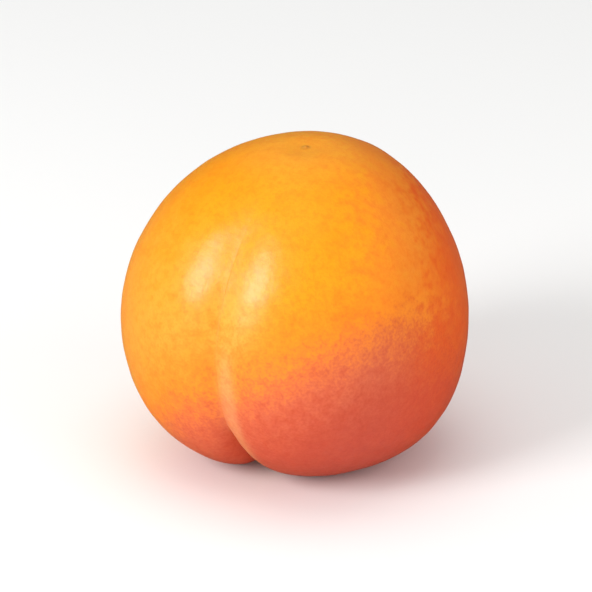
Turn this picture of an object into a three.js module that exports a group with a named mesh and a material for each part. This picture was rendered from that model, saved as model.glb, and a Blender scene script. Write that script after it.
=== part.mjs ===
// An apricot standing on its stem end.
//
// The fruit grew as one piece, so it is one solid. It is a near-sphere that is fullest low down, where
// the two lobes beside the suture turn in to the stem cavity, and it narrows a little towards its tip.
// Units are millimetres and +Z is up. The suture faces -Y, the cheeks are at +X and -X, and the tip is
// at the top. The origin is on the surface that the fruit stands on, under the middle of its box.
//
// Every point of the skin is found from two angles: polar, which is 0 in the stem cavity and 180
// degrees at the tip, and longitude, which is 0 along the suture and grows towards the +X cheek.

import * as THREE from 'three';

const { degToRad } = THREE.MathUtils;

// The body
const HALF_WIDTH = 25.2; // across the cheeks
const HALF_DEPTH = 25.7; // from the suture to the back
const HALF_HEIGHT = 26; // before the stem end is hollowed
const TAPER = 0.018; // share by which the tip end is narrower, and the stem end wider, than the middle
const TIP_LEAN = 2.3; // how far the tip leans towards +X
const STEM_SETBACK = 1; // how far the stem end is set back towards +Y
const CHEEK_FULLNESS = 0.6; // how far the +X cheek stands further out than the -X cheek

// The shoulders, which are uneven swellings round the stem end
const SHOULDER_POLAR = degToRad(41);
const SHOULDER_SPREAD = degToRad(26);
const RING_SWELL = 1.3; // all round
const FULL_SIDE_SWELL = 0.9; // more on one side
const FULL_SIDE_LONGITUDE = degToRad(145);
const LOBE_SWELL = 1.3; // more on two lobes opposite each other
const LOBE_LONGITUDE = degToRad(-56);

// The suture, a seam that is a sharp crease at the stem end and a shallow valley towards the tip
const CREASE_DEPTH = 3.1;
const CREASE_POLAR_REACH = degToRad(62);
const VALLEY_DEPTH = 1.6;
const CREASE_ROUNDING = 0.3;
const VALLEY_ROUNDING = 1.6;
const RIGHT_WALL_WIDTH = 2.6; // the +X lobe rolls gently into the crease
const LEFT_WALL_WIDTH = 1.2; // the -X lobe meets it steeply
const VALLEY_WALL_WIDTH = 4.3;
const SUTURE_FADE = 0.26; // sine of the angle from either end over which the suture fades away
const SUTURE_END_START = degToRad(126); // from here to the next angle the valley runs out towards the tip
const SUTURE_END = degToRad(160);

// The narrow fold at the bottom of the crease, where the two lobes meet
const FOLD_DEPTH = 0.9;
const FOLD_WIDTH = 0.55;
const FOLD_END_START = degToRad(46);
const FOLD_END = degToRad(70);

// The stem cavity, and the small dimple at the tip
const CAVITY_DEPTH = 7.5;
const CAVITY_SPREAD = degToRad(12.5);
const TIP_DIMPLE_DEPTH = 0.5;
const TIP_DIMPLE_SPREAD = degToRad(8);

// The slight unevenness of a grown thing: broad waves across the body
const WAVE_HEIGHT = 0.16;
const WAVES = [
  { across: new THREE.Vector3(4.1, 2.3, -1.2), phase: 0.4 },
  { across: new THREE.Vector3(-2.2, 3.6, 3.1), phase: 1.9 },
  { across: new THREE.Vector3(1.4, -3.3, 4.4), phase: 3.2 },
];

// The rim of the stem cavity is pressed flat where the fruit rests on it
const RESTING_PRESS = 0.45;

// The mesh is closest along the suture and at both ends
const MERIDIANS = 84;
const PARALLELS = 52;
const MERIDIAN_CROWDING = 1.5;
const PARALLEL_CROWDING = 0.06;

// The skin
const SKIN_COLOUR = '#f9a128';
const SKIN_ROUGHNESS = 0.42;

// A smooth hill that is 1 at zero and falls away over the given spread.
function hill(offset, spread) {
  return Math.exp(-((offset / spread) ** 2));
}

// How far the shoulders swell out at this point.
function shoulderSwell(polar, longitude) {
  const fullSide = FULL_SIDE_SWELL * Math.cos(longitude - FULL_SIDE_LONGITUDE);
  const lobes = LOBE_SWELL * Math.cos(2 * (longitude - LOBE_LONGITUDE));
  const swell = RING_SWELL + fullSide + lobes;
  return swell * Math.sin(polar) * hill(polar - SHOULDER_POLAR, SHOULDER_SPREAD);
}

// How deep the suture is at this point: deepest on its own line, with a wall to each side of it.
function sutureDepth(polar, direction) {
  const crease = hill(polar, CREASE_POLAR_REACH);
  const depth = THREE.MathUtils.lerp(VALLEY_DEPTH, CREASE_DEPTH, crease);
  const rounding = THREE.MathUtils.lerp(VALLEY_ROUNDING, CREASE_ROUNDING, crease);
  const creaseWall = direction.x > 0 ? RIGHT_WALL_WIDTH : LEFT_WALL_WIDTH;
  const wall = THREE.MathUtils.lerp(VALLEY_WALL_WIDTH, creaseWall, crease);
  const side = HALF_WIDTH * direction.x;
  const away = Math.hypot(side, rounding) - rounding;
  const folded = 1 - THREE.MathUtils.smoothstep(polar, FOLD_END_START, FOLD_END);
  const fold = FOLD_DEPTH * Math.exp(-Math.abs(side) / FOLD_WIDTH) * folded;
  const onFront = THREE.MathUtils.smoothstep(-direction.y, 0, SUTURE_FADE);
  const belowTip = 1 - THREE.MathUtils.smoothstep(polar, SUTURE_END_START, SUTURE_END);
  return (depth * Math.exp(-away / wall) + fold) * onFront * belowTip;
}

// The broad waves at this point.
function unevenness(direction) {
  let height = 0;
  for (const wave of WAVES) {
    height += WAVE_HEIGHT * Math.sin(wave.across.dot(direction) + wave.phase);
  }
  return height;
}

// The point of the skin at these two angles, with the fruit's middle at the origin.
function skinPoint(polar, longitude) {
  const direction = new THREE.Vector3(
    Math.sin(polar) * Math.sin(longitude),
    -Math.sin(polar) * Math.cos(longitude),
    -Math.cos(polar),
  );
  const point = new THREE.Vector3(HALF_WIDTH, HALF_DEPTH, HALF_HEIGHT).multiply(direction);
  const swell = shoulderSwell(polar, longitude) + unevenness(direction) - sutureDepth(polar, direction);
  point.addScaledVector(direction, swell);

  const narrowing = 1 - TAPER * direction.z;
  const towardsTip = Math.max(direction.z, 0) ** 2;
  const towardsStem = Math.max(-direction.z, 0) ** 2;
  point.x = point.x * narrowing + TIP_LEAN * towardsTip + CHEEK_FULLNESS * Math.sin(polar) ** 2;
  point.y = point.y * narrowing + STEM_SETBACK * towardsStem;

  point.z += CAVITY_DEPTH * hill(polar, CAVITY_SPREAD);
  point.z -= TIP_DIMPLE_DEPTH * hill(Math.PI - polar, TIP_DIMPLE_SPREAD);
  return point;
}

// The closed skin, pressed flat where it rests, and moved to stand on the origin.
function buildSkin() {
  const geometry = new THREE.SphereGeometry(1, MERIDIANS, PARALLELS);
  const positions = geometry.attributes.position;
  const mapping = geometry.attributes.uv;
  for (let i = 0; i < positions.count; i += 1) {
    const turn = 2 * mapping.getX(i) - 1;
    const rise = mapping.getY(i);
    const longitude = Math.PI * Math.sign(turn) * Math.abs(turn) ** MERIDIAN_CROWDING;
    const polar = Math.PI * (rise - PARALLEL_CROWDING * Math.sin(2 * Math.PI * rise));
    const point = skinPoint(polar, longitude);
    positions.setXYZ(i, point.x, point.y, point.z);
  }

  geometry.computeBoundingBox();
  const restingHeight = geometry.boundingBox.min.z + RESTING_PRESS;
  for (let i = 0; i < positions.count; i += 1) {
    positions.setZ(i, Math.max(positions.getZ(i), restingHeight));
  }

  geometry.computeBoundingBox();
  const middle = geometry.boundingBox.getCenter(new THREE.Vector3());
  geometry.translate(-middle.x, -middle.y, -restingHeight);
  geometry.computeVertexNormals();
  return geometry;
}

const skin = new THREE.MeshStandardMaterial({
  color: SKIN_COLOUR,
  roughness: SKIN_ROUGHNESS,
  metalness: 0,
});

const apricot = new THREE.Mesh(buildSkin(), skin);
apricot.name = 'apricot';

const fruit = new THREE.Group();
fruit.add(apricot);

export default fruit;
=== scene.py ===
"""The looks of an apricot that stands on its stem end, laid out as a Blender add-on.

The fruit is one finely meshed skin. It follows the same form as the solid that it replaces: a body that
is fullest round the stem end, a suture that is a crease below and a valley above, a stem cavity with the
scar of the stalk, and a tip with the dried point of the flower.

Every point of the skin is found from two angles: polar, which is 0 in the stem cavity and 180 degrees at
the tip, and longitude, which is 0 along the suture and grows towards the +X cheek. The form and the skin's
patterns are in millimetres, and the stage is in metres.
"""

import math

import bmesh
import bpy
from bpy.props import FloatProperty, FloatVectorProperty, IntProperty, PointerProperty
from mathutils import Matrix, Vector, noise


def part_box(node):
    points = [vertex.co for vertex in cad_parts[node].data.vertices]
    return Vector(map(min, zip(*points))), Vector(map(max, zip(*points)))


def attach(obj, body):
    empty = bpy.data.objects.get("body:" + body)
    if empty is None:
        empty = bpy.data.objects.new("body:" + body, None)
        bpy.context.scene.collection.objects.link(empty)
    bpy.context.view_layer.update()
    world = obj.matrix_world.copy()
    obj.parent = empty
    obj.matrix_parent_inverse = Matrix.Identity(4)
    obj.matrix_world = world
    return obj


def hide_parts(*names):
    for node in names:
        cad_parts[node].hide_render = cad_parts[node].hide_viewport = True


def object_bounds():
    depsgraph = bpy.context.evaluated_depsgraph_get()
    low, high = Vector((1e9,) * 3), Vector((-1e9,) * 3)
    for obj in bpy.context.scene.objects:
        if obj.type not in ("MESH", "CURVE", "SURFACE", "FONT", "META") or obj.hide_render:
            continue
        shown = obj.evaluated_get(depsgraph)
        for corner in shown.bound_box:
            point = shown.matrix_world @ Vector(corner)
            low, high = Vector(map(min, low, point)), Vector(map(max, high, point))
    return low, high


bl_info = {
    "name": "Apricot",
    "version": (1, 0, 0),
    "blender": (4, 5, 0),
    "location": "3D View > Sidebar > Apricot",
    "description": "Dresses the apricot with its skin and sets the stage round it",
    "category": "Object",
}

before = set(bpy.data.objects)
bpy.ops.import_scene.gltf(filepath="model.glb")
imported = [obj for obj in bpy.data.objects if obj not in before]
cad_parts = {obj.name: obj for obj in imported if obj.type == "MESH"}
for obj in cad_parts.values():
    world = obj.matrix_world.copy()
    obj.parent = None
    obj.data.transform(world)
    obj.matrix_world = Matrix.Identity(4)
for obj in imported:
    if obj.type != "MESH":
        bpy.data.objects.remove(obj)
CAD_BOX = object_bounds()
NODE = "apricot"
MM = 0.001

# The body
HALF_WIDTH = 25.2  # across the cheeks
HALF_DEPTH = 25.7  # from the suture to the back
HALF_HEIGHT = 26  # before the stem end is hollowed
TAPER = 0.018  # share by which the tip end is narrower, and the stem end wider, than the middle
TIP_LEAN = 2.3  # towards +X
STEM_SETBACK = 1  # towards +Y
CHEEK_FULLNESS = 0.6  # how far both cheeks are moved towards +X, so that the +X cheek is the fuller

# The shoulders, which are uneven swellings round the stem end: all round, on one side, and on two lobes
SHOULDER_POLAR = math.radians(41)
SHOULDER_SPREAD = math.radians(26)
RING_SWELL = 1.3
FULL_SIDE_SWELL = 0.9
FULL_SIDE_LONGITUDE = math.radians(145)
LOBE_SWELL = 1.3
LOBE_LONGITUDE = math.radians(-56)

# The suture, a sharp crease at the stem end and a shallow valley towards the tip
CREASE_POLAR_REACH = math.radians(62)
VALLEY_DEPTH = 1.6
CREASE_ROUNDING = 0.3
VALLEY_ROUNDING = 1.6
RIGHT_WALL_WIDTH = 2.6  # the +X lobe rolls gently into the crease
LEFT_WALL_WIDTH = 1.2  # the -X lobe meets it steeply
VALLEY_WALL_WIDTH = 4.3
SUTURE_FADE = 0.26  # sine of the angle from either end over which the suture fades away
SUTURE_END = (math.radians(126), math.radians(160))

# The narrow fold at the bottom of the crease, which thins between two angles to a fine seam up the valley
FOLD_DEPTH = 0.9
FOLD_WIDTH = 0.55
FOLD_END = (math.radians(46), math.radians(70))
SEAM_DEPTH = 0.08

# The stem cavity and the dimple at the tip
CAVITY_SPREAD = math.radians(12.5)
TIP_DIMPLE_DEPTH = 0.5
TIP_DIMPLE_SPREAD = math.radians(8)

# The broad waves of a grown thing: across which way each runs, and how far along it starts
WAVE_HEIGHT = 0.16
WAVES = (
    (Vector((4.1, 2.3, -1.2)), 0.4),
    (Vector((-2.2, 3.6, 3.1)), 1.9),
    (Vector((1.4, -3.3, 4.4)), 3.2),
)

# The rim of the cavity is pressed flat where the fruit rests on it, with a soft bend at its edge
RESTING_PRESS = 0.45
PRESS_SOFTNESS = 0.12

# Small dents in the skin: spacing and depth
DENTS = ((4.5, 0.07), (1.9, 0.03))

# The scar of the stalk, a corky disc with a raised rim, and the dried point at the tip
SCAR_POLAR = math.radians(4.6)
SCAR_RIM_SPREAD = math.radians(0.9)
SCAR_RIM_HEIGHT = 0.3
SCAR_GRAIN_SPACING = 0.5
SCAR_GRAIN_DEPTH = 0.12
TIP_POINT_HEIGHT = 0.3
TIP_POINT_SPREAD = math.radians(0.7)

# The mesh of the skin is closest along the suture and at both ends
MERIDIAN_CROWDING = 1.3
PARALLEL_CROWDING = 0.05

# What the skin's colour goes by, each a number at every point of the mesh
ATTRIBUTES = ("polar", "warm", "pale", "sun", "lit_bank", "rim", "crease_red_and_shade", "seam")

# How far the sun has reached goes by the way the skin faces: on the +X lobe it grows towards SUN_SIDE, and
# on the -X lobe downwards, less so away from the suture. Each start is its value facing neither way.
SUN_SIDE = Vector((0.74, -0.34, -1))
SUN_START = -0.655
SHADED_SIDE = Vector((-1.2, 0, -0.8))
SHADED_START = -0.25

# Between the lobes the blush changes sharply at the suture, and gently at the back
LOBE_EDGES = (0.1, 0.9)
FRONT_TO_BACK = (-0.5, 0.5)

# The ground is palest facing away from the first of these, a paleness that is partly a painted sheen haze
# of the down on the side towards the softbox, and deepest in colour facing the second
PALE_AWAY = Vector((0.75, 0.65, 0.35))
# Towards this side the deep orange is partly the skin's own and partly painted orange light bounced from
# neighbouring fruit, with painted shade
WARM_SIDE = Vector((0.75, 0.65, 0))

# A painted highlight: the pale bank on the +X side of the suture, where the softbox lights its wall, broad
# above and narrow beside the crease
BANK_OFFSET = (3.2, 1.1)
BANK_SPREAD = (3.4, 0.9)
BANK_END = (math.radians(100), math.radians(135))

# Beside the crease, a painted highlight where the softbox lights the +X lobe's wall, and a red, partly the
# skin's own and partly painted shade in the crease, that reaches further on the -X lobe
RIM_OFFSET = 1.7
RIM_SPREAD = 1.7
RIM_END = (math.radians(78), math.radians(108))
CREASE_RED_AND_SHADE_WIDTHS = (2.2, 0.5)
SEAM_LINE_WIDTH = 0.3

# The skin's patterns: spacing, and detail within it. Real down is far finer than the nap, which is drawn
# as coarse as it needs to be to show.
PATTERNS = {
    "cloud": (13, 3.0),
    "drift": (9, 2.0),
    "mottle": (2.6, 2.0),
    "speckle": (1.1, 1.0),
    "grain": (0.4, 1.0),
    "pore": (0.8, 3.0),
    "nap": (0.2, 1.0),
}

# How far each pattern shifts the edges of the ground's colours, and those of the blush
GROUND_WANDER = {"cloud": 0.4, "mottle": 0.3, "speckle": 0.3}
BLUSH_WANDER = {"drift": 0.2, "mottle": 0.2, "speckle": 0.22, "grain": 0.28}

# From where to where each colour of the ground comes in over the one before
GROUND_RISE = (-1.0, -0.3)
WARM_RISE = (0.05, 0.45)
CHEEK_RISE = (0.42, 0.92)

# From where to where each colour of the blush comes in, and the cheek's orange between them, which is
# partly painted orange light bounced from neighbouring fruit
BLUSH_EDGE_RISE = (-0.70, -0.08)
BLUSH_RISE = (-0.27, 0.18)
CHEEK_OVER_BLUSH_RISE = (0.48, 0.90)
CHEEK_OVER_BLUSH = 0.9
DEEP_RISE = (0.05, 0.45)
DEEPEST_RISE = (0.35, 0.9)
# The cheek's more orange blush is partly painted orange light bounced from neighbouring fruit
CHEEK_BLUSH_RISE = (0.2, 0.75)  # from the front's blush to the cheek's more orange one

# The bank is painted paler, as a painted highlight where the softbox lights the suture's wall, and the skin
# round the tip is paler in the same colour
PALE_BANK = "#f4b452"
BANK_STRENGTH = 0.55
TIP_ZONE = (math.radians(148), math.radians(172))
TIP_ZONE_STRENGTH = 0.25

# A few small brown spots
SPOT_SPACING = 12
SPOT_RADIUS = 0.3
SPOT_COLOUR = "#8a4a22"
SPOT_STRENGTH = 0.7

# The painted highlight on the rim, the red and painted shade beside the crease, and the seam, laid on over
# all of a mark's range or over all but its faintest part
LIT_RIM_COLOUR = "#f0a870"
LIT_RIM_STRENGTH = 0.5
CREASE_RED_AND_SHADE_COLOUR = "#cc4420"
CREASE_RED_AND_SHADE_STRENGTH = 0.6
SEAM_COLOUR = "#dd7a20"
SEAM_STRENGTH = 0.15
ALL_OF_IT = (0.0, 1.0)
BUT_THE_FAINTEST = (0.1, 1.0)

# The stem cavity is greener, its scar is brown cork, and the tip's point is brown. Each zone runs from one
# polar angle to another, in radians, and the edges round the scar are ragged.
CAVITY_COLOUR = "#d9a23a"
CAVITY_ZONE = (0.27, 0.10)
CAVITY_STRENGTH = 0.75
CORK_DARK = "#5c3f22"
CORK_LIGHT = "#a98457"
CORK_ZONE = (0.105, 0.085)
RAGGED_EDGE = 0.06
TIP_COLOUR = "#b07c34"
TIP_POINT_ZONE = (math.pi - 0.045, math.pi - 0.005)
TIP_POINT_STRENGTH = 0.65

# Fine mottles in which every colour is deeper, and how strong they are at each size
MOTTLE_TINT = "#fae6c8"
MOTTLE_RISE = (0.4, 0.75)
MOTTLE_STRENGTHS = {"mottle": 0.3, "speckle": 0.5, "grain": 0.5}

# The satin cuticle, which is a little uneven, and the dull cork and seam
CUTICLE_IOR = 1.5
SATIN_ROUGHNESS = (0.28, 0.44)
CORK_ROUGHNESS = 0.9
SEAM_ROUGHNESS = 0.7
PORE_DEPTH = 0.05
PORE_STRENGTH = 0.5
NAP_DEPTH = 0.02
NAP_STRENGTH = 0.4

# The flesh, which light enters, red the furthest, and the down, which glints at the edges
FLESH_GLOW = 0.3
GLOW_REACH = 2.0
GLOW_BY_COLOUR = (1.0, 0.38, 0.12)
DOWN_GLINT = 0.05
DOWN_ROUGHNESS = 0.4
DOWN_TINT = "#ffd8ac"

# The floor, a wide disc of matt paper, and the paper's tooth in millimetres, drawn coarse enough to show
FLOOR_SIDES = 96
FLOOR_RADIUS = 3.0
PAPER_ROUGHNESS = 0.9
TOOTH_SPACING = 1.1
TOOTH_DEPTH = 0.1
TOOTH_STRENGTH = 0.1

# Name, azimuth, elevation, distance, width, height and power in watts of each soft light. Of these, gloss
# shows only the softbox.
LIGHTS = (
    ("softbox", math.radians(-24), math.radians(29), 0.55, 0.19, 0.27, 2.05),
    ("side_fill", math.radians(85), math.radians(30), 0.8, 0.5, 0.5, 1.0),
    ("overhead", math.radians(0), math.radians(88), 0.8, 0.6, 0.6, 1.6),
    ("front_fill", math.radians(30), math.radians(8), 0.8, 0.6, 0.15, 0.95),
)


def linear(hex_colour):
    """An sRGB colour such as "#ff8800" as linear red, green, blue and alpha."""
    channels = [int(hex_colour[i:i + 2], 16) / 255 for i in (1, 3, 5)]
    return (*[c / 12.92 if c <= 0.04045 else ((c + 0.055) / 1.055) ** 2.4 for c in channels], 1.0)


def mix(low, high, share):
    """The value at this share of the way from low to high."""
    return low + (high - low) * share


def hill(offset, spread):
    """A smooth hill that is 1 at zero and falls away over the given spread."""
    return math.exp(-((offset / spread) ** 2))


def smooth_step(value, low, high):
    """0 below low, 1 above high, and a smooth rise between."""
    share = min(max((value - low) / (high - low), 0), 1)
    return share * share * (3 - 2 * share)


def soft_floor(height):
    """The height, kept from going below zero by a soft bend."""
    return 0.5 * (height + math.hypot(height, PRESS_SOFTNESS))


def shoulder_swell(polar, longitude):
    """How far the shoulders swell out at this point."""
    full_side = FULL_SIDE_SWELL * math.cos(longitude - FULL_SIDE_LONGITUDE)
    lobes = LOBE_SWELL * math.cos(2 * (longitude - LOBE_LONGITUDE))
    swell = RING_SWELL + full_side + lobes
    return swell * math.sin(polar) * hill(polar - SHOULDER_POLAR, SHOULDER_SPREAD)


def suture_presence(polar, outward):
    """1 along the suture's length, fading to 0 where it ends and on the back."""
    return smooth_step(-outward.y, 0, SUTURE_FADE) * (1 - smooth_step(polar, *SUTURE_END))


def suture_depth(polar, outward, crease_depth):
    """How deep the suture is at this point."""
    crease = hill(polar, CREASE_POLAR_REACH)
    depth = mix(VALLEY_DEPTH, crease_depth, crease)
    rounding = mix(VALLEY_ROUNDING, CREASE_ROUNDING, crease)
    crease_wall = RIGHT_WALL_WIDTH if outward.x > 0 else LEFT_WALL_WIDTH
    wall = mix(VALLEY_WALL_WIDTH, crease_wall, crease)
    side = HALF_WIDTH * outward.x
    away = math.hypot(side, rounding) - rounding
    fold_depth = mix(FOLD_DEPTH, SEAM_DEPTH, smooth_step(polar, *FOLD_END))
    fold = fold_depth * math.exp(-abs(side) / FOLD_WIDTH)
    return (depth * math.exp(-away / wall) + fold) * suture_presence(polar, outward)


def skin_point(polar, longitude, settings):
    """The point of the skin in millimetres at these two angles, and the way it faces."""
    outward = Vector((
        math.sin(polar) * math.sin(longitude),
        -math.sin(polar) * math.cos(longitude),
        -math.cos(polar),
    ))
    suture = suture_depth(polar, outward, settings.crease_depth / MM)
    waves = sum(WAVE_HEIGHT * math.sin(across.dot(outward) + phase) for across, phase in WAVES)
    body = Vector((HALF_WIDTH * outward.x, HALF_DEPTH * outward.y, HALF_HEIGHT * outward.z))
    point = body + outward * (shoulder_swell(polar, longitude) + waves - suture)

    narrowing = 1 - TAPER * outward.z
    towards_tip = max(outward.z, 0) ** 2
    towards_stem = max(-outward.z, 0) ** 2
    point.x = point.x * narrowing + TIP_LEAN * towards_tip + CHEEK_FULLNESS * math.sin(polar) ** 2
    point.y = point.y * narrowing + STEM_SETBACK * towards_stem
    point.z += settings.cavity_depth / MM * hill(polar, CAVITY_SPREAD)
    point.z -= TIP_DIMPLE_DEPTH * hill(math.pi - polar, TIP_DIMPLE_SPREAD)
    return point, outward


def fine_relief(polar, point):
    """Dents of the skin, grain and rim of the stalk's scar, and the point at the tip, in millimetres."""
    dents = -sum(depth * noise.noise(point / spacing) for spacing, depth in DENTS)
    on_scar = 1 - smooth_step(polar, SCAR_POLAR - SCAR_RIM_SPREAD, SCAR_POLAR)
    grain = SCAR_GRAIN_DEPTH * noise.noise(point / SCAR_GRAIN_SPACING) * on_scar
    rim = SCAR_RIM_HEIGHT * hill(polar - SCAR_POLAR, SCAR_RIM_SPREAD)
    tip = TIP_POINT_HEIGHT * hill(math.pi - polar, TIP_POINT_SPREAD)
    return dents + grain + rim + tip


def markings(polar, outward):
    """What the skin's colour goes by at this point: a number for each attribute of the mesh."""
    crease = hill(polar, CREASE_POLAR_REACH)
    on_front = suture_presence(polar, outward)
    side = HALF_WIDTH * outward.x
    lit_bank = hill(side - mix(*BANK_OFFSET, crease), mix(*BANK_SPREAD, crease)) * on_front
    lit_bank *= 1 - smooth_step(polar, *BANK_END)
    lobe_edge = mix(*LOBE_EDGES, smooth_step(outward.y, *FRONT_TO_BACK))
    lobe = smooth_step(outward.x, -lobe_edge, lobe_edge)
    sunny = SUN_SIDE.dot(Vector((outward.x, min(outward.y, 0), outward.z))) + SUN_START
    shaded = SHADED_SIDE.dot(Vector((outward.x ** 2, 0, outward.z))) + SHADED_START
    folded = (1 - smooth_step(polar, *FOLD_END)) * on_front
    # The red beside the crease is partly the skin's own and partly painted shade in the crease
    red_and_shade_width = CREASE_RED_AND_SHADE_WIDTHS[1] if side > 0 else CREASE_RED_AND_SHADE_WIDTHS[0]
    return {
        "polar": polar,
        "warm": WARM_SIDE.dot(outward),
        "pale": PALE_AWAY.dot(outward),
        "sun": mix(shaded, sunny, lobe),
        "lit_bank": lit_bank,
        # Painted highlight: the +X lobe's wall beside the crease, lit by the softbox
        "rim": hill(side - RIM_OFFSET, RIM_SPREAD) * on_front * (1 - smooth_step(polar, *RIM_END)),
        "crease_red_and_shade": math.exp(-abs(side) / red_and_shade_width) * folded,
        "seam": math.exp(-abs(side) / SEAM_LINE_WIDTH) * on_front,
    }


def fit_to_solid(bm):
    """Moves the skin from millimetres about its middle to the box of the solid that it replaces."""
    along = list(zip(*(vert.co for vert in bm.verts)))
    low = Vector([min(values) for values in along])
    high = Vector([max(values) for values in along])
    solid_low, solid_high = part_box(NODE)
    scale = Vector([(solid_high[i] - solid_low[i]) / (high[i] - low[i]) for i in range(3)])
    bmesh.ops.translate(bm, verts=bm.verts, vec=-low)
    bmesh.ops.scale(bm, verts=bm.verts, vec=scale)
    bmesh.ops.translate(bm, verts=bm.verts, vec=solid_low)


def skin_mesh(settings):
    """The closed skin: a sphere whose points are moved to their places, pressed flat where it rests."""
    bm = bmesh.new()
    bmesh.ops.create_uvsphere(
        bm, u_segments=settings.meridians, v_segments=settings.parallels, radius=1
    )
    layers = {name: bm.verts.layers.float.new(name) for name in ATTRIBUTES}
    for vert in bm.verts:
        rise = math.acos(max(min(-vert.co.z, 1), -1)) / math.pi
        turn = math.atan2(vert.co.x, -vert.co.y) / math.pi
        polar = math.pi * (rise - PARALLEL_CROWDING * math.sin(2 * math.pi * rise))
        longitude = math.pi * math.copysign(abs(turn) ** MERIDIAN_CROWDING, turn)
        point, outward = skin_point(polar, longitude, settings)
        vert.co = point + outward * fine_relief(polar, point)
        for name, value in markings(polar, outward).items():
            vert[layers[name]] = value

    resting_height = min(vert.co.z for vert in bm.verts) + RESTING_PRESS
    for vert in bm.verts:
        vert.co.z = soft_floor(vert.co.z - resting_height)

    fit_to_solid(bm)

    bmesh.ops.recalc_face_normals(bm, faces=bm.faces)
    for face in bm.faces:
        face.smooth = True
    mesh = bpy.data.meshes.new("apricot_skin")
    bm.to_mesh(mesh)
    bm.free()
    return mesh


def add_node(tree, kind, inputs=(), **settings):
    """Adds a node, sets it up, and fills its live inputs by name or in order, with values or outputs.

    A node given as an input stands for its first live output.
    """
    node = tree.nodes.new(kind)
    for name, value in settings.items():
        setattr(node, name, value)
    if isinstance(inputs, dict):
        pairs = [(node.inputs[name], value) for name, value in inputs.items()]
    else:
        pairs = zip([socket for socket in node.inputs if socket.enabled], inputs)
    for socket, value in pairs:
        if isinstance(value, bpy.types.Node):
            value = next(output for output in value.outputs if output.enabled)
        if isinstance(value, bpy.types.NodeSocket):
            tree.links.new(value, socket)
        else:
            socket.default_value = value
    return node


def new_material(name):
    """An empty node material and its tree."""
    material = bpy.data.materials.new(name)
    material.use_nodes = True
    material.node_tree.nodes.clear()
    return material, material.node_tree


def wander(tree, value, patterns, shifts):
    """The value, shifted to and fro by each pattern that shifts names, as far as it says there."""
    for name, shift in shifts.items():
        part = add_node(
            tree, "ShaderNodeMath", (patterns[name], shift, -shift / 2), operation="MULTIPLY_ADD"
        )
        value = add_node(tree, "ShaderNodeMath", (value, part), operation="ADD")
    return value


def lay_over(tree, colour, layers, blend_type="MIX"):
    """The colour under these layers, each of which comes in as its value goes from start to end."""
    for value, (start, end), strength, tint in layers:
        share = add_node(
            tree, "ShaderNodeMapRange", (value, start, end, 0, strength), interpolation_type="SMOOTHSTEP"
        )
        colour = add_node(
            tree, "ShaderNodeMix", (share, colour, tint), data_type="RGBA", blend_type=blend_type
        )
    return colour


def ground_colour(tree, marks, settings):
    """The ground runs from pale yellow through gold to deep orange. The pale side is partly a painted sheen
    haze, the deep orange partly painted bounce light and shade, the bank a painted highlight, and the tip
    is pale.
    """
    colour = lay_over(tree, tuple(settings.pale_and_sheen_colour), (
        (marks["paleness"], GROUND_RISE, 1.0, tuple(settings.ground_colour)),
        (marks["warmth"], WARM_RISE, 1.0, tuple(settings.warm_colour)),
        (marks["warmth"], CHEEK_RISE, 1.0, tuple(settings.cheek_and_bounce_colour)),
    ))
    # Painted highlight: the bank is paler where the softbox lights the suture's wall
    on_lit_bank = add_node(tree, "ShaderNodeMath", (marks["lit_bank"], BANK_STRENGTH), operation="MULTIPLY")
    colour = add_node(tree, "ShaderNodeMix", (on_lit_bank, colour, linear(PALE_BANK)), data_type="RGBA")
    return lay_over(tree, colour, (
        (marks["polar"], TIP_ZONE, TIP_ZONE_STRENGTH, linear(PALE_BANK)),
    ))


def with_blush(tree, colour, marks, settings):
    """The blush deepens in steps, and is more orange on the cheek than in front, partly as painted orange
    light bounced from neighbouring fruit.
    """
    on_cheek = add_node(
        tree, "ShaderNodeMapRange", (marks["warm"], *CHEEK_BLUSH_RISE), interpolation_type="SMOOTHSTEP"
    )
    blush, deep, deepest = (
        add_node(tree, "ShaderNodeMix", (on_cheek, tuple(front), tuple(cheek)), data_type="RGBA")
        for front, cheek in (
            (settings.blush_colour, settings.cheek_blush_and_bounce),
            (settings.deep_colour, settings.cheek_deep_and_bounce),
            (settings.deepest_colour, settings.cheek_deepest_and_bounce),
        )
    )
    return lay_over(tree, colour, (
        (marks["reach"], BLUSH_EDGE_RISE, 1.0, tuple(settings.warm_blush)),
        (marks["reach"], BLUSH_RISE, 1.0, blush),
        (marks["warmth"], CHEEK_OVER_BLUSH_RISE, CHEEK_OVER_BLUSH, tuple(settings.cheek_and_bounce_colour)),
        (marks["reach"], DEEP_RISE, 1.0, deep),
        (marks["reach"], DEEPEST_RISE, 1.0, deepest),
    ))


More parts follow.
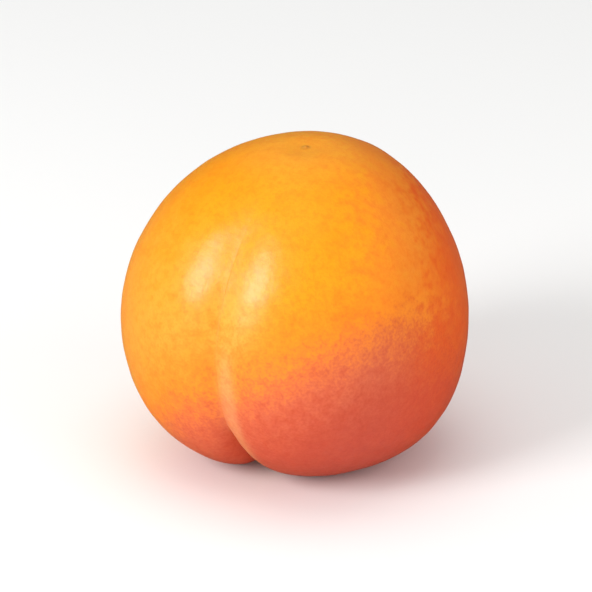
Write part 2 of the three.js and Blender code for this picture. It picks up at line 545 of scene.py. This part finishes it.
def with_local_marks(tree, colour, marks, patterns, in_mm):
    """Small spots, what lies beside the suture (a painted highlight, and red with painted shade), the
    cavity with its corky scar, and the tip's point.
    """
    cells = add_node(tree, "ShaderNodeTexVoronoi", {"Vector": in_mm, "Scale": 1 / SPOT_SPACING})
    spot = add_node(
        tree, "ShaderNodeMapRange", (cells.outputs["Distance"], SPOT_RADIUS / SPOT_SPACING, 0.0)
    )
    cork = add_node(
        tree,
        "ShaderNodeMix",
        (patterns["speckle"], linear(CORK_DARK), linear(CORK_LIGHT)),
        data_type="RGBA",
    )
    return lay_over(tree, colour, (
        (spot, ALL_OF_IT, SPOT_STRENGTH, linear(SPOT_COLOUR)),
        (marks["rim"], ALL_OF_IT, LIT_RIM_STRENGTH, linear(LIT_RIM_COLOUR)),
        (marks["crease_red_and_shade"], BUT_THE_FAINTEST, CREASE_RED_AND_SHADE_STRENGTH, linear(CREASE_RED_AND_SHADE_COLOUR)),
        (marks["seam"], BUT_THE_FAINTEST, SEAM_STRENGTH, linear(SEAM_COLOUR)),
        (marks["cavity"], CAVITY_ZONE, CAVITY_STRENGTH, linear(CAVITY_COLOUR)),
        (marks["cavity"], CORK_ZONE, 1.0, cork),
        (marks["polar"], TIP_POINT_ZONE, TIP_POINT_STRENGTH, linear(TIP_COLOUR)),
    ))


def apricot_skin(settings):
    """Ripe apricot skin: a thin satin cuticle under a fine down, over juicy flesh that light enters.

    It gives the eye a warm yellow-orange that glows, soft broad highlights, a paler edge where the down
    is seen side on, and a red blush made of fine grains on the side that the sun reached.
    """
    material, tree = new_material("Ripe apricot skin")
    place = add_node(tree, "ShaderNodeTexCoord").outputs["Object"]
    in_mm = add_node(tree, "ShaderNodeVectorMath", {"Vector": place, "Scale": 1 / MM}, operation="SCALE")
    patterns = {
        name: add_node(
            tree, "ShaderNodeTexNoise", {"Vector": in_mm, "Scale": 1 / spacing, "Detail": detail}
        )
        for name, (spacing, detail) in PATTERNS.items()
    }

    # What each colour goes by, read from the mesh and then made uneven
    marks = {
        name: add_node(tree, "ShaderNodeAttribute", attribute_name=name).outputs["Fac"]
        for name in ATTRIBUTES
    }
    marks["paleness"] = wander(tree, marks["pale"], patterns, GROUND_WANDER)
    marks["warmth"] = wander(tree, marks["warm"], patterns, GROUND_WANDER)
    marks["reach"] = wander(tree, marks["sun"], patterns, BLUSH_WANDER)
    marks["cavity"] = wander(tree, marks["polar"], patterns, {"mottle": RAGGED_EDGE})

    colour = ground_colour(tree, marks, settings)
    colour = with_blush(tree, colour, marks, settings)
    colour = with_local_marks(tree, colour, marks, patterns, in_mm)
    colour = lay_over(
        tree,
        colour,
        [
            (patterns[name], MOTTLE_RISE, strength, linear(MOTTLE_TINT))
            for name, strength in MOTTLE_STRENGTHS.items()
        ],
        blend_type="MULTIPLY",
    )

    scar = add_node(
        tree, "ShaderNodeMapRange", (marks["cavity"], *CORK_ZONE), interpolation_type="SMOOTHSTEP"
    )
    rough = add_node(tree, "ShaderNodeMapRange", (patterns["pore"], 0, 1, *SATIN_ROUGHNESS))
    for zone, dullness in ((scar, CORK_ROUGHNESS), (marks["seam"], SEAM_ROUGHNESS)):
        dull = add_node(tree, "ShaderNodeMath", (zone, dullness), operation="MULTIPLY")
        rough = add_node(tree, "ShaderNodeMath", (rough, dull), operation="MAXIMUM")

    pores = add_node(
        tree,
        "ShaderNodeBump",
        {"Height": patterns["pore"], "Strength": PORE_STRENGTH, "Distance": PORE_DEPTH * MM},
    )
    down = add_node(
        tree,
        "ShaderNodeBump",
        {
            "Height": patterns["nap"],
            "Strength": NAP_STRENGTH,
            "Distance": NAP_DEPTH * MM,
            "Normal": pores,
        },
    )
    skin = add_node(
        tree,
        "ShaderNodeBsdfPrincipled",
        {
            "Base Color": colour,
            "Roughness": rough,
            "Normal": down,
            "IOR": CUTICLE_IOR,
            "Subsurface Weight": FLESH_GLOW,
            "Subsurface Radius": GLOW_BY_COLOUR,
            "Subsurface Scale": GLOW_REACH * MM,
            "Sheen Weight": DOWN_GLINT,
            "Sheen Roughness": DOWN_ROUGHNESS,
            "Sheen Tint": linear(DOWN_TINT),
        },
    )
    add_node(tree, "ShaderNodeOutputMaterial", {"Surface": skin})
    return material


def floor_paper(settings):
    """Matt white paper, rolled with a fine tooth: it gives the eye a plain pale ground.

    Gloss shows it darker than it is, so that the fruit keeps its full colour near it.
    """
    material, tree = new_material("Matt white paper")
    place = add_node(tree, "ShaderNodeTexCoord").outputs["Object"]
    tooth = add_node(
        tree, "ShaderNodeTexNoise", {"Vector": place, "Scale": 1 / (TOOTH_SPACING * MM)}
    )
    bump = add_node(
        tree,
        "ShaderNodeBump",
        {"Height": tooth, "Strength": TOOTH_STRENGTH, "Distance": TOOTH_DEPTH * MM},
    )
    ray = add_node(tree, "ShaderNodeLightPath").outputs["Is Glossy Ray"]
    colour = add_node(
        tree,
        "ShaderNodeMix",
        (ray, tuple(settings.floor_colour), tuple(settings.mirrored_floor)),
        data_type="RGBA",
    )
    paper = add_node(
        tree,
        "ShaderNodeBsdfPrincipled",
        {"Base Color": colour, "Roughness": PAPER_ROUGHNESS, "Normal": bump},
    )
    add_node(tree, "ShaderNodeOutputMaterial", {"Surface": paper})
    return material


def white_surroundings(settings):
    """A plain white world, which gloss shows dimmer than it lights the fruit."""
    world = bpy.data.worlds.new("White surroundings")
    world.use_nodes = True
    tree = world.node_tree
    tree.nodes.clear()
    ray = add_node(tree, "ShaderNodeLightPath").outputs["Is Glossy Ray"]
    strength = add_node(tree, "ShaderNodeMapRange", (ray, 0, 1, settings.surround, settings.mirrored))
    surroundings = add_node(
        tree, "ShaderNodeBackground", {"Color": linear("#ffffff"), "Strength": strength}
    )
    add_node(tree, "ShaderNodeOutputWorld", {"Surface": surroundings})
    return world


def aim(thing, target, azimuth, elevation, distance):
    """Places a thing at this angle and distance from the target, looking at it."""
    back = Vector((
        math.sin(azimuth) * math.cos(elevation),
        -math.cos(azimuth) * math.cos(elevation),
        math.sin(elevation),
    ))
    thing.location = target + back * distance
    thing.rotation_euler = (-back).to_track_quat("-Z", "Y").to_euler()


class FruitSettings(bpy.types.PropertyGroup):
    """Sizes and colours of the fruit."""

    crease_depth: FloatProperty(
        name="Crease depth", description="Depth of the suture at the stem end",
        default=3.1 * MM, unit="LENGTH",
    )
    cavity_depth: FloatProperty(
        name="Cavity depth", description="Depth of the stem cavity", default=7.5 * MM, unit="LENGTH"
    )
    meridians: IntProperty(name="Meridians", description="Faces of the skin round the fruit", default=320)
    parallels: IntProperty(name="Parallels", description="Faces of the skin from end to end", default=240)
    # Partly painted: a sheen haze of the down on the side towards the softbox
    pale_and_sheen_colour: FloatVectorProperty(
        name="Pale ground", description="Ground colour on the shaded cheek",
        size=4, subtype="COLOR", default=linear("#f29f2c"),
    )
    ground_colour: FloatVectorProperty(
        name="Ground", description="Ground colour of most of the skin",
        size=4, subtype="COLOR", default=linear("#f29b04"),
    )
    warm_colour: FloatVectorProperty(
        name="Warm ground", description="Ground colour towards the sunlit cheek",
        size=4, subtype="COLOR", default=linear("#f48d22"),
    )
    # Partly the skin's own deep orange, partly painted bounce light from neighbouring fruit and painted
    # shade
    cheek_and_bounce_colour: FloatVectorProperty(
        name="Cheek", description="Ground colour on the sunlit cheek",
        size=4, subtype="COLOR", default=linear("#ee5e02"),
    )
    warm_blush: FloatVectorProperty(
        name="Edge of the blush", description="Orange where the blush begins",
        size=4, subtype="COLOR", default=linear("#f88c14"),
    )
    blush_colour: FloatVectorProperty(
        name="Blush", description="Coral red of the blush in front",
        size=4, subtype="COLOR", default=linear("#dc6844"),
    )
    deep_colour: FloatVectorProperty(
        name="Deep blush", description="Red of the middle of the blush in front",
        size=4, subtype="COLOR", default=linear("#d1553c"),
    )
    deepest_colour: FloatVectorProperty(
        name="Deepest blush", description="Darkest red of the blush in front",
        size=4, subtype="COLOR", default=linear("#c85048"),
    )
    # The cheek's blushes are partly painted orange light bounced from neighbouring fruit
    cheek_blush_and_bounce: FloatVectorProperty(
        name="Blush on the cheek", description="Orange red of the blush on the sunlit cheek",
        size=4, subtype="COLOR", default=linear("#e05c1e"),
    )
    cheek_deep_and_bounce: FloatVectorProperty(
        name="Deep blush on the cheek", description="Red of the middle of the blush on the sunlit cheek",
        size=4, subtype="COLOR", default=linear("#da4e2c"),
    )
    cheek_deepest_and_bounce: FloatVectorProperty(
        name="Deepest blush on the cheek", description="Darkest red of the blush on the sunlit cheek",
        size=4, subtype="COLOR", default=linear("#cf4a36"),
    )


class StageSettings(bpy.types.PropertyGroup):
    """The camera, the lights and the floor."""

    azimuth: FloatProperty(
        name="Azimuth", description="Camera's turn round the fruit",
        default=math.radians(28.5), subtype="ANGLE",
    )
    elevation: FloatProperty(
        name="Elevation", description="Camera's height as an angle",
        default=math.radians(25), subtype="ANGLE",
    )
    distance: FloatProperty(
        name="Distance", description="From the camera to the fruit's middle", default=0.62, unit="LENGTH"
    )
    field: FloatProperty(
        name="Field", description="Width of what the camera sees at the fruit",
        default=0.087, unit="LENGTH",
    )
    light_power: FloatProperty(
        name="Lights", description="How many times its own power each light has", default=1.0
    )
    surround: FloatProperty(
        name="Surround", description="Brightness of the white surroundings", default=0.575
    )
    mirrored: FloatProperty(
        name="Mirrored surround", description="Brightness of the surroundings as gloss shows them",
        default=0.03,
    )
    floor_colour: FloatVectorProperty(
        name="Floor", description="Colour of the floor",
        size=4, subtype="COLOR", default=linear("#f6f6f5"),
    )
    mirrored_floor: FloatVectorProperty(
        name="Mirrored floor", description="Colour of the floor as gloss shows it",
        size=4, subtype="COLOR", default=linear("#705849"),
    )


class APRICOT_OT_fruit(bpy.types.Operator):
    """Builds the apricot's skin in place of its solid"""

    bl_idname = "apricot.fruit"
    bl_label = "Apricot"

    def execute(self, context):
        settings = context.scene.apricot_fruit
        piece = bpy.data.objects.new("apricot_skin", skin_mesh(settings))
        context.scene.collection.objects.link(piece)
        piece.data.materials.append(apricot_skin(settings))
        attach(piece, "root")
        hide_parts(NODE)
        return {"FINISHED"}


class APRICOT_OT_stage(bpy.types.Operator):
    """Sets the floor, the soft lights and the camera round the fruit"""

    bl_idname = "apricot.stage"
    bl_label = "Stage"

    def execute(self, context):
        settings = context.scene.apricot_stage
        scene = context.scene
        low, high = CAD_BOX
        middle = (low + high) / 2
        self.lay_floor(scene, settings)
        self.place_lights(scene, settings, middle)
        scene.world = white_surroundings(settings)
        self.place_camera(scene, settings, middle)
        scene.view_settings.view_transform = "Standard"
        return {"FINISHED"}

    @staticmethod
    def lay_floor(scene, settings):
        """The disc of paper that the fruit stands on."""
        bm = bmesh.new()
        bmesh.ops.create_circle(bm, cap_ends=True, segments=FLOOR_SIDES, radius=FLOOR_RADIUS)
        mesh = bpy.data.meshes.new("floor")
        bm.to_mesh(mesh)
        bm.free()
        floor = bpy.data.objects.new("floor", mesh)
        scene.collection.objects.link(floor)
        mesh.materials.append(floor_paper(settings))

    @staticmethod
    def place_lights(scene, settings, middle):
        """The soft lights, all aimed at the fruit's middle."""
        for name, azimuth, elevation, distance, width, height, power in LIGHTS:
            data = bpy.data.lights.new(name, "AREA")
            data.shape = "RECTANGLE"
            data.size = width
            data.size_y = height
            data.energy = power * settings.light_power
            light = bpy.data.objects.new(name, data)
            light.visible_glossy = name == "softbox"
            aim(light, middle, azimuth, elevation, distance)
            scene.collection.objects.link(light)

    @staticmethod
    def place_camera(scene, settings, middle):
        """The camera, looking at the fruit's middle."""
        data = bpy.data.cameras.new("camera")
        data.lens = data.sensor_width * settings.distance / settings.field
        camera = bpy.data.objects.new("camera", data)
        aim(camera, middle, settings.azimuth, settings.elevation, settings.distance)
        scene.collection.objects.link(camera)
        scene.camera = camera


STEPS = (
    ("apricot.fruit", "apricot_fruit"),
    ("apricot.stage", "apricot_stage"),
)


class APRICOT_PT_panel(bpy.types.Panel):
    """The steps that dress the apricot"""

    bl_label = "Apricot"
    bl_idname = "APRICOT_PT_panel"
    bl_space_type = "VIEW_3D"
    bl_region_type = "UI"
    bl_category = "Apricot"

    def draw(self, context):
        for operator, group in STEPS:
            settings = getattr(context.scene, group)
            box = self.layout.box()
            for name in settings.__annotations__:
                box.prop(settings, name)
            box.operator(operator)


CLASSES = (FruitSettings, StageSettings, APRICOT_OT_fruit, APRICOT_OT_stage, APRICOT_PT_panel)


def register():
    for cls in CLASSES:
        bpy.utils.register_class(cls)
    bpy.types.Scene.apricot_fruit = PointerProperty(type=FruitSettings)
    bpy.types.Scene.apricot_stage = PointerProperty(type=StageSettings)


def unregister():
    del bpy.types.Scene.apricot_stage
    del bpy.types.Scene.apricot_fruit
    for cls in reversed(CLASSES):
        bpy.utils.unregister_class(cls)


def main():
    register()
    bpy.ops.apricot.fruit()
    bpy.ops.apricot.stage()


if __name__ == "__main__":
    main()
